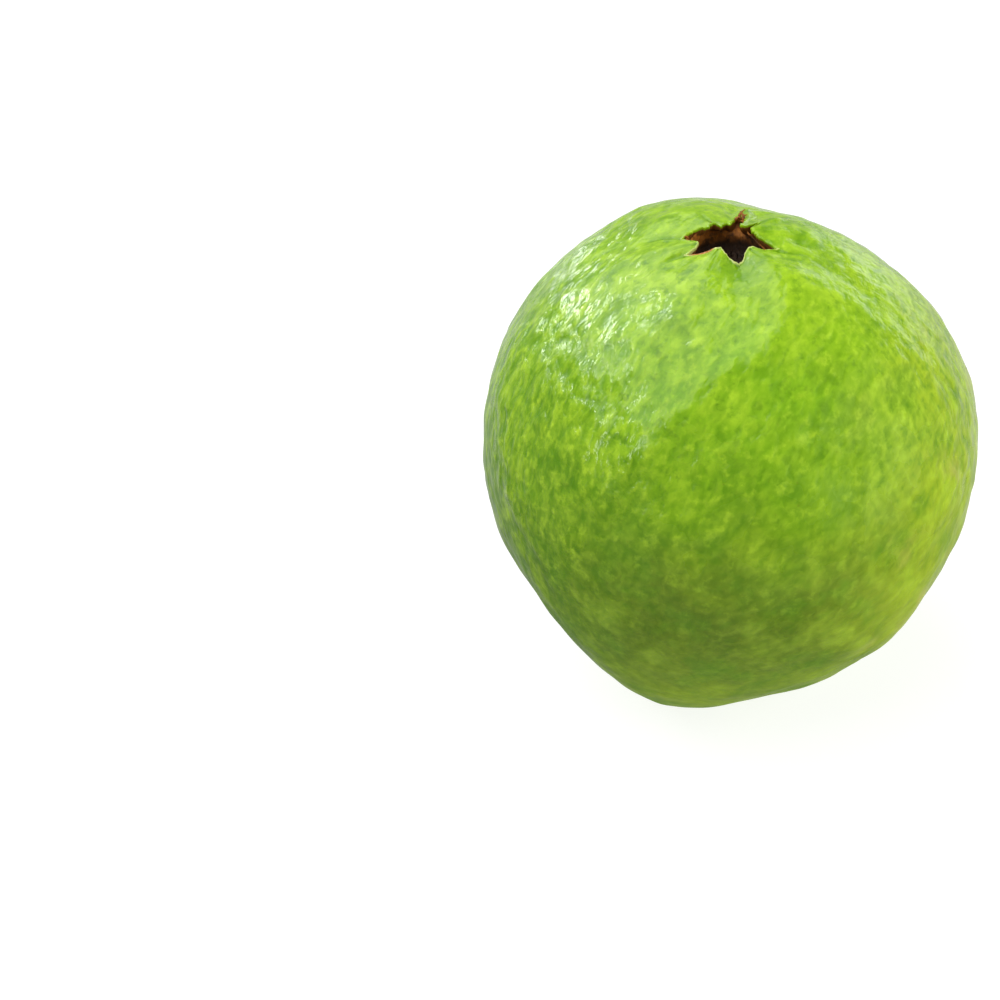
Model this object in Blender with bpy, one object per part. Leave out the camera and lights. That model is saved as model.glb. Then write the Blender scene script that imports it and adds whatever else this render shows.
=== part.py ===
"""A round green guava, standing on its stem end with the star-shaped mouth of its calyx on top.

The fruit is one solid. The dried remains of the flower sit in the hollow at its top, and the woody stub of
its stalk sits in the hollow underneath. All sizes are in metres and all angles are in radians.

Each piece starts as a blank turned about the fruit's own axis. The same growth() then gives every blank the
fruit's lobes, its swellings and the star of its mouth, so that the pieces still fit each other afterwards.
While it is shaped, the fruit has its centre at the origin and its calyx towards +Z.
"""

import math

import bmesh
import bpy
from mathutils import Matrix, Vector

# Driving dimensions
BODY_RADIUS = 0.0432  # mean radius of the fruit
FLAT_DEPTH = 0.0005  # how far the lobes are pressed flat where the fruit rests
GAP = 0.0003  # clearance between neighbouring pieces
COLUMNS = 72  # steps round the fruit

# Stem end
STEM_HOLLOW_DEPTH = 0.0060
STEM_HOLLOW_WIDTH = 0.22  # angle from the axis at which the hollow has risen to a third of its depth
STEM_END_ANGLE = 0.42  # the skin has finer steps nearer to the stalk than this
STEM_END_STEPS = 10
SIDE_STEPS = 22
STALK_RADIUS = 0.0017
STALK_LENGTH = 0.0026

# Calyx end: a mouth with pointed corners, over a cup
MOUTH_RADIUS = 0.0062  # of the blank, before the star is drawn out of it
STAR_REACH = 0.0155  # distance from the axis at which the skin no longer shows the star
STAR_SHARPNESS = 2.2  # the higher, the rounder its flaps and the narrower its corners
FLAP_RISE = 0.0006  # how far the flaps stand above the corners
CALYX_END_ANGLE = 0.40  # the skin has finer steps nearer to the calyx than this
CALYX_END_STEPS = 7
CUP_RADIUS = 0.0070
CUP_DEPTH = 0.0078
LIP_DEPTH = 0.0008  # depth in the cup down to which its wall has the whole star
STAR_DEPTH = 0.0030  # depth at which its wall is round again
LINING_DEPTH = 0.0037  # depth at which the dried lining begins
LINING_THICKNESS = 0.0007
STYLE_RADIUS = 0.0007
STYLE_HEIGHT = 0.0014

# The star's corners: azimuth in degrees to distance from the axis. Azimuth 0 is +X, and 90 degrees is +Y.
# A furrow runs down the fruit from each. A flap of skin reaches in from each corner to the next.
STAR_CORNERS = {-155: 0.0080, -75: 0.0069, -10: 0.0082, 75: 0.0092, 170: 0.0080}
FLAP_RADII = (0.0038, 0.0044, 0.0042, 0.0064, 0.0050)
FURROWS = [math.radians(azimuth) for azimuth in STAR_CORNERS]
CORNER_RADII = list(STAR_CORNERS.values())
LOBE_HEIGHT_AT_CALYX = 0.010  # lobe heights are shares of the body's radius
LOBE_HEIGHT_AT_WAIST = 0.004
LOBE_HEIGHT_AT_STEM = 0.016

# Swellings and dips: azimuth and angle from the calyx in degrees, width in degrees, height as a share
SWELLINGS = {
    "heel": (-112, 145, 21, 0.046),
    "rear_left_shoulder": (118, 34, 24, 0.032),
    "left_shoulder": (155, 58, 26, 0.030),
    "right_cheek": (10, 70, 24, 0.012),
    "rear_right_dip": (46, 47, 26, -0.030),
    "right_flank_dip": (-26, 122, 34, -0.024),
    "left_flank_dip": (-165, 122, 26, -0.022),
    "front_facet": (-60, 62, 20, -0.010),
    "front_left_facet": (-140, 48, 22, -0.008),
    "front_right_toe": (-58, 142, 7, 0.014),
    "right_foot": (32, 163, 13, 0.022),
    "rear_foot": (116, 163, 13, 0.019),
    "front_right_foot": (-46, 163, 12, 0.017),
}


def smooth_step(low, high, value):
    """0 below low, 1 above high, and a smooth rise between them."""
    share = min(1.0, max(0.0, (value - low) / (high - low)))
    return share * share * (3.0 - 2.0 * share)


def between_furrows(azimuth):
    """(k, share, gap): the furrow before azimuth, how far on it is to the next one, and the angle between them."""
    ends = FURROWS[1:] + [FURROWS[0] + math.tau]
    for k, (before, after) in enumerate(zip(FURROWS, ends)):
        past = (azimuth - before) % math.tau
        if past < after - before:
            return k, past / (after - before), after - before
    return 0, 0.0, ends[0] - FURROWS[0]


def lobe(azimuth):
    """Height of the lobes round the fruit: 0 in a furrow, and 1 on the crest of a wide lobe."""
    _, share, gap = between_furrows(azimuth)
    even_gap = math.tau / len(FURROWS)
    return math.sin(math.pi * share) ** 2 * min(1.0, gap / even_gap)


def star_radius(azimuth):
    """Radius of the mouth: sharp corners at the furrows, with a rounded flap of skin between each two."""
    k, share, _ = between_furrows(azimuth)
    corner = CORNER_RADII[k] if share < 0.5 else CORNER_RADII[(k + 1) % len(CORNER_RADII)]
    from_middle = abs(2.0 * share - 1.0)
    return FLAP_RADII[k] + (corner - FLAP_RADII[k]) * from_middle**STAR_SHARPNESS


def lobe_height(polar):
    """Height of the lobes at this angle from the calyx. They fade out on the axis itself."""
    below_waist = smooth_step(0.35 * math.pi, 0.85 * math.pi, polar)
    above_waist = smooth_step(0.45 * math.pi, 0.10 * math.pi, polar)
    height = LOBE_HEIGHT_AT_WAIST
    height += (LOBE_HEIGHT_AT_STEM - LOBE_HEIGHT_AT_WAIST) * below_waist
    height += (LOBE_HEIGHT_AT_CALYX - LOBE_HEIGHT_AT_WAIST) * above_waist
    return height * smooth_step(0.02, 0.30, math.sin(polar))


def direction(azimuth, polar):
    """Unit vector at an azimuth and an angle from the calyx."""
    return Vector(
        (math.sin(polar) * math.cos(azimuth), math.sin(polar) * math.sin(azimuth), math.cos(polar))
    )


def swelling(towards):
    """Sum of the named swellings in this direction, as a share of the radius."""
    total = 0.0
    for azimuth, polar, width, height in SWELLINGS.values():
        middle = direction(math.radians(azimuth), math.radians(polar))
        angle = towards.angle(middle)
        total += height * math.exp(-((angle / math.radians(width)) ** 2))
    return total


def growth(point):
    """Moves a point of a turned blank to where the grown fruit has it."""
    away = math.hypot(point.x, point.y)
    azimuth = math.atan2(point.y, point.x)
    polar = math.atan2(away, point.z)

    near_mouth = smooth_step(STAR_REACH, MOUTH_RADIUS, away) * smooth_step(0.0, BODY_RADIUS, point.z)
    depth = max(0.0, MOUTH_HEIGHT - point.z) if away < CUP_RADIUS + GAP else 0.0
    near_mouth *= smooth_step(STAR_DEPTH, LIP_DEPTH, depth)
    stretch = 1.0 + near_mouth * (star_radius(azimuth) / MOUTH_RADIUS - 1.0)

    share = 1.0 + swelling(point)
    share += lobe_height(polar) * (2.0 * lobe(azimuth) - 1.0)
    grown = Vector((point.x * stretch, point.y * stretch, point.z)) * share
    grown.z += FLAP_RISE * near_mouth * (2.0 * lobe(azimuth) - 1.0)
    return grown


def skin_radius(polar):
    """Distance from the centre to the skin of the turned blank, at this angle from the calyx."""
    from_stem = math.pi - polar
    hollow = STEM_HOLLOW_DEPTH * math.exp(-((from_stem / STEM_HOLLOW_WIDTH) ** 2))
    return BODY_RADIUS - hollow


MOUTH_POLAR = math.asin(MOUTH_RADIUS / BODY_RADIUS)
MOUTH_HEIGHT = BODY_RADIUS * math.cos(MOUTH_POLAR)


def even_steps(first, last, count):
    """count numbers from first towards last, without last itself."""
    return [first + (last - first) * k / count for k in range(count)]


def skin_outline():
    """The blank's skin, from the bottom of the stem hollow up to the mouth, as (distance from axis, height)."""
    angles = even_steps(0.0, STEM_END_ANGLE, STEM_END_STEPS)
    angles += even_steps(STEM_END_ANGLE, math.pi - CALYX_END_ANGLE, SIDE_STEPS)
    angles += even_steps(math.pi - CALYX_END_ANGLE, math.pi - MOUTH_POLAR, CALYX_END_STEPS)
    points = []
    for from_stem in angles:
        radius = skin_radius(math.pi - from_stem)
        points.append((radius * math.sin(from_stem), -radius * math.cos(from_stem)))
    return points


def cup_outline(gap=0.0):
    """The wall and floor of the cup under the mouth, gap in from the fruit, as (distance, height)."""
    wall = [
        (MOUTH_RADIUS, 0.0),
        (MOUTH_RADIUS - 0.0004, 0.0004),
        (MOUTH_RADIUS - 0.0003, 0.0010),
        (0.5 * (MOUTH_RADIUS + CUP_RADIUS), 0.0018),
        (CUP_RADIUS, STAR_DEPTH),
        (CUP_RADIUS, LINING_DEPTH),
        (CUP_RADIUS, 0.0050),
        (0.93 * CUP_RADIUS, 0.0063),
        (0.70 * CUP_RADIUS, 0.0072),
        (0.38 * CUP_RADIUS, CUP_DEPTH - 0.0001),
        (0.0, CUP_DEPTH),
    ]
    return [(max(0.0, away - gap), MOUTH_HEIGHT - depth + gap) for away, depth in wall]


def turned(name, outline):
    """A closed solid of revolution about Z, from an outline of (distance from axis, height)."""
    mesh = bmesh.new()
    rim = [mesh.verts.new((away, 0.0, height)) for away, height in outline]
    edges = [mesh.edges.new(pair) for pair in zip(rim, rim[1:])]
    bmesh.ops.spin(
        mesh,
        geom=rim + edges,
        axis=(0.0, 0.0, 1.0),
        cent=(0.0, 0.0, 0.0),
        angle=math.tau,
        steps=COLUMNS,
        use_merge=True,
    )
    bmesh.ops.remove_doubles(mesh, verts=mesh.verts, dist=1e-6)
    bmesh.ops.recalc_face_normals(mesh, faces=mesh.faces)
    data = bpy.data.meshes.new(name)
    mesh.to_mesh(data)
    mesh.free()
    return data


def grow(data):
    """Applies growth() to every vertex of a turned blank."""
    for vertex in data.vertices:
        vertex.co = growth(vertex.co.copy())
    data.update()


def material(name, colour, roughness):
    """A Principled BSDF of one colour."""
    made = bpy.data.materials.new(name)
    made.use_nodes = True
    shader = made.node_tree.nodes["Principled BSDF"]
    shader.inputs["Base Color"].default_value = (*colour, 1.0)
    shader.inputs["Roughness"].default_value = roughness
    shader.inputs["Metallic"].default_value = 0.0
    return made


def add(name, data, finish):
    """Links the mesh to the scene as an object with this name and finish."""
    data.materials.append(finish)
    data.shade_smooth()
    data.set_sharp_from_angle(angle=math.radians(50))
    thing = bpy.data.objects.new(name, data)
    bpy.context.scene.collection.objects.link(thing)
    return thing


def fruit():
    """Skin and flesh as one solid, with its stem hollow, its lobes and the cup under its mouth."""
    data = turned("fruit", skin_outline() + cup_outline())
    grow(data)
    return add("fruit", data, material("waxy_skin", (0.22, 0.42, 0.02), 0.35))


def dried_calyx():
    """What is left of the flower: a thin dry lining in the bottom of the cup, with the style's stub in it."""
    outside = [point for point in cup_outline(GAP) if point[1] <= MOUTH_HEIGHT - LINING_DEPTH + GAP]
    floor = outside[-1][1] + LINING_THICKNESS
    inside = [(0.0, floor + STYLE_HEIGHT), (STYLE_RADIUS, floor + STYLE_HEIGHT), (1.4 * STYLE_RADIUS, floor)]
    inside += [
        (max(0.0, away - LINING_THICKNESS), height + 0.6 * LINING_THICKNESS)
        for away, height in reversed(outside[:-2])
    ]
    data = turned("dried_calyx", inside + outside)
    grow(data)
    return add("dried_calyx", data, material("dry_calyx", (0.13, 0.045, 0.012), 0.85))


def stem_stub():
    """The short end of the stalk, in the middle of the stem hollow and clear of the table."""
    top = -(BODY_RADIUS - STEM_HOLLOW_DEPTH) - GAP
    bottom = top - STALK_LENGTH
    outline = [
        (0.0, bottom),
        (0.80 * STALK_RADIUS, bottom),
        (0.95 * STALK_RADIUS, bottom + 0.0003),
        (STALK_RADIUS, bottom + 0.45 * STALK_LENGTH),
        (1.25 * STALK_RADIUS, top - 0.0006),
        (1.25 * STALK_RADIUS, top - 0.0003),
        (0.0, top - 0.0002),
    ]
    data = turned("stem_stub", outline)
    grow(data)
    return add("stem_stub", data, material("stalk_wood", (0.10, 0.065, 0.03), 0.8))


def stand(pieces, body):
    """Puts the pieces down on their flat spots: the body's box is centred on the origin, with its base at 0."""
    points = [vertex.co for vertex in body.data.vertices]
    low = Vector([min(point[axis] for point in points) for axis in range(3)])
    high = Vector([max(point[axis] for point in points) for axis in range(3)])
    middle = (low + high) / 2.0
    move = Matrix.Translation((-middle.x, -middle.y, -(low.z + FLAT_DEPTH)))
    for piece in pieces:
        piece.data.transform(move)
    for vertex in body.data.vertices:
        vertex.co.z = max(0.0, vertex.co.z)


def main():
    """Clears the scene and builds the guava."""
    for old in list(bpy.data.objects):
        bpy.data.objects.remove(old)
    body = fruit()
    stand([body, dried_calyx(), stem_stub()], body)


main()
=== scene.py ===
"""Looks of a round green guava that stands on its stem end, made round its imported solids.

Four pieces stand for the three solids: the skin with its star-shaped mouth, the dry lining of the calyx with
what is left of the flower in it, and the woody stub of the stalk underneath. Lengths are in metres.
"""

import logging
import math
from dataclasses import dataclass, field
from enum import Enum

import bpy
import numpy as np
from mathutils import Euler, Matrix, Vector, noise


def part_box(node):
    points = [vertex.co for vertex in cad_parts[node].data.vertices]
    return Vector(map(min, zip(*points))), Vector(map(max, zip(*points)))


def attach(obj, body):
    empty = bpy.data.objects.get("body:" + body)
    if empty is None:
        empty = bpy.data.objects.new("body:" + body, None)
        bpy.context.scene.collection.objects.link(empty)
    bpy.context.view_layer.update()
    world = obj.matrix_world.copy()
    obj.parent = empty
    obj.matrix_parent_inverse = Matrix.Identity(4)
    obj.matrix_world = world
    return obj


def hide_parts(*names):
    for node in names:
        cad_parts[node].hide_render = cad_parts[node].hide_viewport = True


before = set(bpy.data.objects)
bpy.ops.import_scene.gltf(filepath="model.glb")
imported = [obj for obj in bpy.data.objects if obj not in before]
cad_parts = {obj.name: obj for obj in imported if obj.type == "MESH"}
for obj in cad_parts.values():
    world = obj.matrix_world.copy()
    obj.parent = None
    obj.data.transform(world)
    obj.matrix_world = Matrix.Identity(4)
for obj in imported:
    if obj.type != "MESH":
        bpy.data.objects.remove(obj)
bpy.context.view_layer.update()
ROOT = "root"

LOG = logging.getLogger("guava")

Colour = tuple[float, float, float]


# ---- Shader graphs ---------------------------------------------------------


class Value:
    """A shader socket that carries a number. Python's operators on it add Math nodes."""

    def __init__(self, graph: "Graph", socket: bpy.types.NodeSocket) -> None:
        """Keeps the socket and the graph that new nodes go into."""
        self.graph = graph
        self.socket = socket

    def math(self, operation: str, *others: "Value | float", swapped: bool = False) -> "Value":
        """Adds a Math node.

        Args:
            operation: the Math node's operation.
            others: the operands after this one.
            swapped: puts this value second.

        Returns:
            The node's result.
        """
        operands = [self, *others]
        if swapped:
            operands.reverse()
        node = self.graph.node("ShaderNodeMath", {"operation": operation}, dict(enumerate(operands)))
        return Value(self.graph, node.outputs[0])

    def __add__(self, other: "Value | float") -> "Value":
        """self + other."""
        return self.math("ADD", other)

    def __sub__(self, other: "Value | float") -> "Value":
        """self - other."""
        return self.math("SUBTRACT", other)

    def __rsub__(self, other: float) -> "Value":
        """other - self."""
        return self.math("SUBTRACT", other, swapped=True)

    def __mul__(self, other: "Value | float") -> "Value":
        """self * other."""
        return self.math("MULTIPLY", other)

    def step(self, low: float, high: float) -> "Value":
        """A smooth rise from 0 at low to 1 at high, which may run downwards.

        Args:
            low: the value that gives 0.
            high: the value that gives 1.

        Returns:
            The mask.
        """
        rising = low < high
        settings = {"interpolation_type": "SMOOTHSTEP"}
        ends = {"From Min": min(low, high), "From Max": max(low, high)}
        ends.update({"To Min": 0.0 if rising else 1.0, "To Max": 1.0 if rising else 0.0})
        node = self.graph.node("ShaderNodeMapRange", settings, {"Value": self, **ends})
        return Value(self.graph, node.outputs["Result"])


class Graph:
    """The node tree of one new material or world, with one method that adds any node."""

    def __init__(self, owner: bpy.types.Material | bpy.types.World, shader: str = "Principled BSDF") -> None:
        owner.use_nodes = True
        self.owner = owner
        self.tree = owner.node_tree
        self.shader = self.tree.nodes[shader]

    def node(self, kind: str, settings: dict | None = None, inputs: dict | None = None) -> bpy.types.Node:
        """Adds a node.

        Args:
            kind: the node's type.
            settings: its own properties, which are set first.
            inputs: socket name or number to a value, a Value or a socket to link.

        Returns:
            The node.
        """
        made = self.tree.nodes.new(kind)
        for name, setting in (settings or {}).items():
            setattr(made, name, setting)
        for name, given in (inputs or {}).items():
            self.feed(made.inputs[name], given)
        return made

    def feed(self, socket: bpy.types.NodeSocket, given: object) -> None:
        """Links a Value or a socket to the socket, or sets the socket to a plain value."""
        if isinstance(given, Value):
            self.tree.links.new(given.socket, socket)
        elif isinstance(given, bpy.types.NodeSocket):
            self.tree.links.new(given, socket)
        elif isinstance(given, tuple) and len(given) == 3 and socket.type == "RGBA":
            socket.default_value = (*given, 1.0)
        else:
            socket.default_value = given

    def finish(self, **sockets: object) -> bpy.types.Material | bpy.types.World:
        """Feeds the shader.

        Args:
            sockets: socket names, with underscores for spaces, to what feeds them.

        Returns:
            The finished material or world.
        """
        for name, given in sockets.items():
            self.feed(self.shader.inputs[name.replace("_", " ")], given)
        return self.owner

    def place(self) -> bpy.types.NodeSocket:
        """Object coordinates, in metres."""
        return self.node("ShaderNodeTexCoord").outputs["Object"]

    def attribute(self, name: str) -> Value:
        """A number stored on the mesh's points."""
        node = self.node("ShaderNodeAttribute", {"attribute_name": name})
        return Value(self, node.outputs["Fac"])

    def attribute_vector(self, name: str) -> bpy.types.NodeSocket:
        """A vector stored on the mesh's points."""
        return self.node("ShaderNodeAttribute", {"attribute_name": name}).outputs["Vector"]

    def axes(self, vector: bpy.types.NodeSocket) -> tuple[Value, Value, Value]:
        """The three numbers of a vector."""
        node = self.node("ShaderNodeSeparateXYZ", None, {0: vector})
        return tuple(Value(self, out) for out in node.outputs)

    def vector_math(self, operation: str, inputs: dict) -> bpy.types.NodeSocket:
        """The result of a Vector Math node."""
        return self.node("ShaderNodeVectorMath", {"operation": operation}, inputs).outputs[0]

    def scaled(self, vector: bpy.types.NodeSocket, scale: Colour) -> bpy.types.NodeSocket:
        """The vector times scale, axis by axis."""
        return self.vector_math("MULTIPLY", {0: vector, 1: scale})

    def nudged(self, vector: bpy.types.NodeSocket, feature: float, reach: float) -> bpy.types.NodeSocket:
        """The vector moved about by noise, so that a pattern on it wanders.

        Args:
            vector: the coordinates.
            feature: size of the noise's features, in the vector's units.
            reach: how far it moves them at most, in the same units.

        Returns:
            The new coordinates.
        """
        inputs = {"Vector": vector, "Scale": 1.0 / feature, "Detail": 2.0}
        wander = self.node("ShaderNodeTexNoise", None, inputs)
        centred = self.vector_math("SUBTRACT", {0: wander.outputs["Color"], 1: (0.5, 0.5, 0.5)})
        grown = self.vector_math("SCALE", {0: centred, "Scale": 2.0 * reach})
        return self.vector_math("ADD", {0: vector, 1: grown})

    def drawn_out(self, vector: bpy.types.NodeSocket, along: Colour, share: float) -> bpy.types.NodeSocket:
        """The coordinates for a pattern that is longer one way than across it.

        Args:
            vector: the coordinates.
            along: unit vector of the way it is drawn out.
            share: how much of that way is taken off the coordinates, from 0 to 1.

        Returns:
            The new coordinates.
        """
        dot = self.node("ShaderNodeVectorMath", {"operation": "DOT_PRODUCT"}, {0: vector, 1: along})
        reach = Value(self, dot.outputs["Value"]) * share
        shift = self.vector_math("SCALE", {0: along, "Scale": reach})
        return self.vector_math("SUBTRACT", {0: vector, 1: shift})

    def cloud(
        self, vector: bpy.types.NodeSocket, feature: float, detail: float = 2.0, rough: float = 0.5
    ) -> Value:
        """Soft noise, mostly between 0.3 and 0.7.

        Args:
            vector: the coordinates.
            feature: size of its features.
            detail: how many finer layers it has.
            rough: how strong those are.

        Returns:
            The noise.
        """
        inputs = {"Vector": vector, "Scale": 1.0 / feature, "Detail": detail, "Roughness": rough}
        return Value(self, self.node("ShaderNodeTexNoise", None, inputs).outputs["Fac"])

    def cells(self, vector: bpy.types.NodeSocket, feature: float) -> Value:
        """Distance to the nearest point of a scattered set, as a share of their spacing, which is feature."""
        node = self.node("ShaderNodeTexVoronoi", None, {"Vector": vector, "Scale": 1.0 / feature})
        return Value(self, node.outputs["Distance"])

    def blend(self, share: Value | float, under: object, over: object) -> bpy.types.NodeSocket:
        """Mixes two colours.

        Args:
            share: how much of over shows.
            under: the colour at share 0.
            over: the colour at share 1.

        Returns:
            The mixed colour.
        """
        settings = {"data_type": "RGBA", "clamp_factor": True}
        node = self.node("ShaderNodeMix", settings, {"Factor": share, 6: under, 7: over})
        return node.outputs[2]

    def relief(self, height: Value) -> bpy.types.NodeSocket:
        """The normals of a bump whose height is given in metres."""
        inputs = {"Height": height, "Distance": 1.0, "Strength": 1.0}
        return self.node("ShaderNodeBump", None, inputs).outputs["Normal"]


# ---- Finishes --------------------------------------------------------------


@dataclass(frozen=True)
class Marks:
    """How a pattern marks the skin: the spans over which it turns it paler and deeper, and how strongly."""

    pale: tuple[float, float]
    pale_share: float
    deep: tuple[float, float]
    deep_share: float


@dataclass(frozen=True)
class WaxySkin:
    """The guava's skin: leaf green above and olive below, mottled, wrinkled towards its calyx, and waxy. Its
    olive lower half is partly painted shade, and its lighter foot is painted light from below.
    """

    shoulder: Colour = (0.300, 0.480, 0.008)
    upper: Colour = (0.185, 0.400, 0.003)
    # Dark olive: partly the skin's own colour, partly painted shade.
    lower: Colour = (0.090, 0.155, 0.0010)
    # Lighter colour at the foot: painted light from below.
    base: Colour = (0.230, 0.350, 0.0030)
    # Yellower, lighter colour of the right side: partly its own ripening, partly painted light.
    sunny_and_lit: Colour = (0.330, 0.430, 0.008)
    pale: Colour = (0.430, 0.640, 0.030)
    deep: Colour = (0.085, 0.225, 0.001)
    blush: Colour = (0.520, 0.420, 0.110)
    cream: Colour = (0.640, 0.680, 0.230)
    rust: Colour = (0.420, 0.150, 0.016)
    cup_wall: Colour = (0.180, 0.070, 0.010)
    slant: Colour = (0.455, 0.701, 0.549)
    olive_level: float = 0.42
    green_level: float = 0.86
    base_level: float = 0.02
    bare_levels: tuple[float, float] = (0.80, 0.15)
    patch_marks: Marks = Marks((0.50, 0.72), 0.30, (0.52, 0.30), 0.55)
    mottle_marks: Marks = Marks((0.52, 0.70), 0.70, (0.48, 0.32), 1.0)
    streak_marks: Marks = Marks((0.52, 0.68), 0.50, (0.47, 0.33), 0.50)
    drift_size: float = 0.0140
    drift_reach: float = 0.024
    flush_size: float = 0.0160
    patch_size: float = 0.0085
    mottle_size: float = 0.0024
    knob_size: float = 0.00200
    net_size: float = 0.00150
    grit_size: float = 0.00120
    swell_size: float = 0.0045
    knob_height: float = 0.000115
    net_height: float = 0.000030
    grit_height: float = 0.000055
    swell_height: float = 0.00032
    streak_height: float = 0.00010
    tear_size: float = 0.0009
    fleck_size: float = 0.0017
    roughness: float = 0.13
    grain_roughness: float = 0.10
    bare_roughness: float = 0.22
    dull_roughness: float = 0.10
    specular: float = 0.28
    scatter: float = 0.08
    scatter_radius: Colour = (0.8, 1.0, 0.25)
    scatter_scale: float = 0.0015

    def marked(
        self, graph: Graph, colour: bpy.types.NodeSocket, pattern: Value, marks: Marks, where: Value | float
    ) -> bpy.types.NodeSocket:
        """The colour, made paler and deeper by a pattern.

        Args:
            graph: where the nodes go.
            colour: the colour to mark.
            pattern: the pattern.
            marks: how it marks the skin.
            where: how much of the marks shows at each place.

        Returns:
            The marked colour.
        """
        paler = pattern.step(*marks.pale) * marks.pale_share * where
        deeper = pattern.step(*marks.deep) * marks.deep_share * where
        return graph.blend(deeper, graph.blend(paler, colour, self.pale), self.deep)

    def colour(self, graph: Graph, span: tuple[float, float], right: float) -> bpy.types.NodeSocket:
        """The skin's broad colours, with painted shade and painted light among them, and its mottling, up to
        where the calyx's own marks begin.

        Args:
            graph: where the nodes go.
            span: heights of the fruit's lowest and highest points.
            right: its right-hand limit in X.

        Returns:
            The colour.
        """
        place = graph.place()
        across, _, height = graph.axes(place)
        wavy = graph.nudged(place, 0.0060, 0.0009)
        foot, top = span

        rise = (graph.cloud(place, self.drift_size, 3.0) - 0.5) * self.drift_reach + height
        levels = (self.base_level, self.olive_level, self.green_level)
        base_end, olive_end, green_start = (foot + level * (top - foot) for level in levels)
        # Green above and dark olive below: partly the skin's own colours, partly painted shade on the lower
        # half; the lighter foot is painted light from below.
        colour = graph.blend(rise.step(olive_end, green_start), self.lower, self.upper)
        colour = graph.blend(rise.step(olive_end, base_end), colour, self.base)
        colour = graph.blend(rise.step(green_start, top) * 0.55, colour, self.shoulder)
        flush = graph.cloud(place, self.flush_size, 3.0)
        # Right side turned yellower and lighter: partly its own ripening, partly painted light on that side.
        ripe_and_lit = (flush * 0.024 + across).step(0.55 * right, 1.20 * right)
        colour = graph.blend(ripe_and_lit * 0.85, colour, self.sunny_and_lit)
        # Painted shade: the left side darkened towards deep green.
        painted_shade_left = (flush * 0.020 - across).step(0.45 * right, 1.15 * right)
        colour = graph.blend(painted_shade_left * 0.62, colour, self.deep)
        flushed = graph.cloud(place, 0.0100, 2.0).step(0.56, 0.70) * ripe_and_lit
        colour = graph.blend(flushed * 0.38, colour, self.blush)

        patches = graph.cloud(wavy, self.patch_size, 3.0, 0.55)
        colour = self.marked(graph, colour, patches, self.patch_marks, 1.0)
        mottles = graph.cloud(wavy, self.mottle_size, 4.0, 0.65)
        mottled = graph.attribute("wrinkled") * 0.90 + 0.16
        return self.marked(graph, colour, mottles, self.mottle_marks, mottled)

    def build(self, span: tuple[float, float], right: float) -> bpy.types.Material:
        """Makes the material.

        Args:
            span: heights of the fruit's lowest and highest points.
            right: its right-hand limit in X.

        Returns:
            The material.
        """
        graph = Graph(bpy.data.materials.new("waxy_skin"))
        place = graph.place()
        _, _, height = graph.axes(place)
        wavy = graph.nudged(place, 0.0030, 0.0006)
        colour = self.colour(graph, span, right)
        wrinkled = graph.attribute("wrinkled")

        grain = graph.nudged(graph.attribute_vector("grain"), 0.16, 0.035)
        streaks = graph.cloud(graph.scaled(grain, (1.0, 1.0, 0.5)), 0.045, 3.0, 0.6)
        streaked = graph.attribute("streaked")
        colour = self.marked(graph, colour, streaks, self.streak_marks, streaked)

        slanted = graph.drawn_out(wavy, self.slant, 0.50)
        net = graph.cells(slanted, self.net_size).step(0.10, 0.66)
        grit = graph.cloud(slanted, self.grit_size).step(0.34, 0.68)
        knobs = graph.cloud(slanted, self.knob_size).step(0.32, 0.68)
        crisp = wrinkled * 0.70 + 0.30
        # Pale flecks on the raised grain and deep green between: partly the skin's own speckle, partly
        # painted highlight on the grain and painted shade in its pits.
        colour = graph.blend((grit * 0.26 + knobs * 0.18) * crisp, colour, self.pale)
        colour = graph.blend((1.0 - net * grit) * (1.0 - knobs * 0.7) * crisp * 0.58, colour, self.deep)

        # Painted shade in the creases and the dimple.
        crease = graph.attribute("crease")
        colour = graph.blend(crease * 0.65, colour, self.deep)
        # A darker spot below the star's lower corner.
        colour = graph.blend(graph.attribute("dark_spot") * 0.70, colour, self.deep)
        torn = graph.cloud(place, self.tear_size, 3.0)
        cup = graph.attribute("cup")
        colour = graph.blend((cup * 9.0 + torn * 0.8 - 0.5).step(0.0, 0.5), colour, self.cup_wall)
        lip = graph.attribute("lip")
        patchy = graph.cloud(place, self.fleck_size, 3.0) * 1.25
        colour = graph.blend((lip - patchy).step(0.0, 0.40) * 0.80, colour, self.cream)
        scorched = (graph.attribute("scorched") * 1.4 - torn * 0.8).step(0.0, 0.5)
        colour = graph.blend(scorched, colour, self.rust)

        relief = (grit * self.grit_height + net * self.net_height + knobs * self.knob_height) * crisp
        relief = relief + graph.cloud(place, self.swell_size, 1.0) * self.swell_height
        relief = relief + streaks * streaked * self.streak_height

        foot, top = span
        bare = height.step(*(foot + level * (top - foot) for level in self.bare_levels))
        dull = graph.cloud(place, 0.0090, 2.0).step(0.65, 0.35)
        rough = graph.cloud(place, 0.0030, 2.0) * self.grain_roughness + self.roughness
        rough = rough + bare * self.bare_roughness + dull * self.dull_roughness
        return graph.finish(
            Base_Color=colour,
            Roughness=rough + cup.step(0.0, 0.10) * 0.4,
            Specular_IOR_Level=self.specular,
            Normal=graph.relief(relief),
            Subsurface_Weight=self.scatter,
            Subsurface_Radius=self.scatter_radius,
            Subsurface_Scale=self.scatter_scale,
        )


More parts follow.
